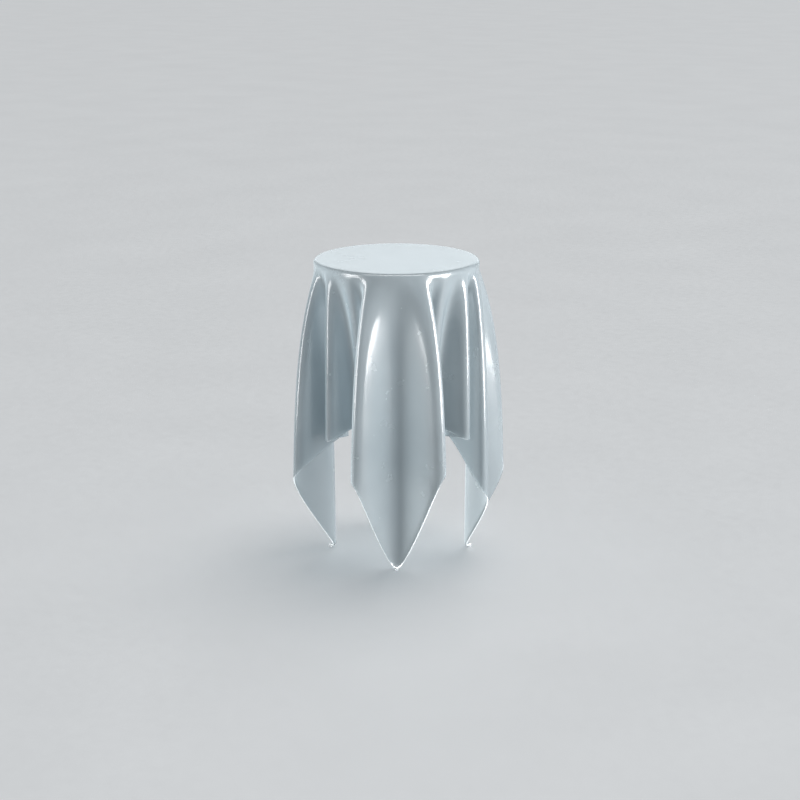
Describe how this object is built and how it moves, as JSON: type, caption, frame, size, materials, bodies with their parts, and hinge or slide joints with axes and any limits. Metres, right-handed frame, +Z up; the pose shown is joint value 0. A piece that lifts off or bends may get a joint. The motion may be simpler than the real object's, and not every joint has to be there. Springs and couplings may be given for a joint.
{
  "type": "draped tablecloth side table",
  "caption": "Hollow side table formed from one stiff translucent sheet that hangs like a square tablecloth over a round top and stands on its turned-out corners.",
  "frame": {"origin": "on the floor, under the middle of the round top", "axes": "+Z up; the flat sheet's sides run along X and Y, so its four corners hang on the diagonals and the four arched gaps face +X, -X, +Y and -Y"},
  "size_m": [0.3677, 0.3837, 0.56],
  "materials": {
    "frosted_acrylic": "translucent, softly frosted, with bright polished edges",
    "clear_pad": "clear soft plastic"
  },
  "bodies": {
    "root": {"draped_shell": "frosted_acrylic", "foot_pad_front": "clear_pad", "foot_pad_right": "clear_pad", "foot_pad_back": "clear_pad", "foot_pad_left": "clear_pad"}
  },
  "joints": []
}
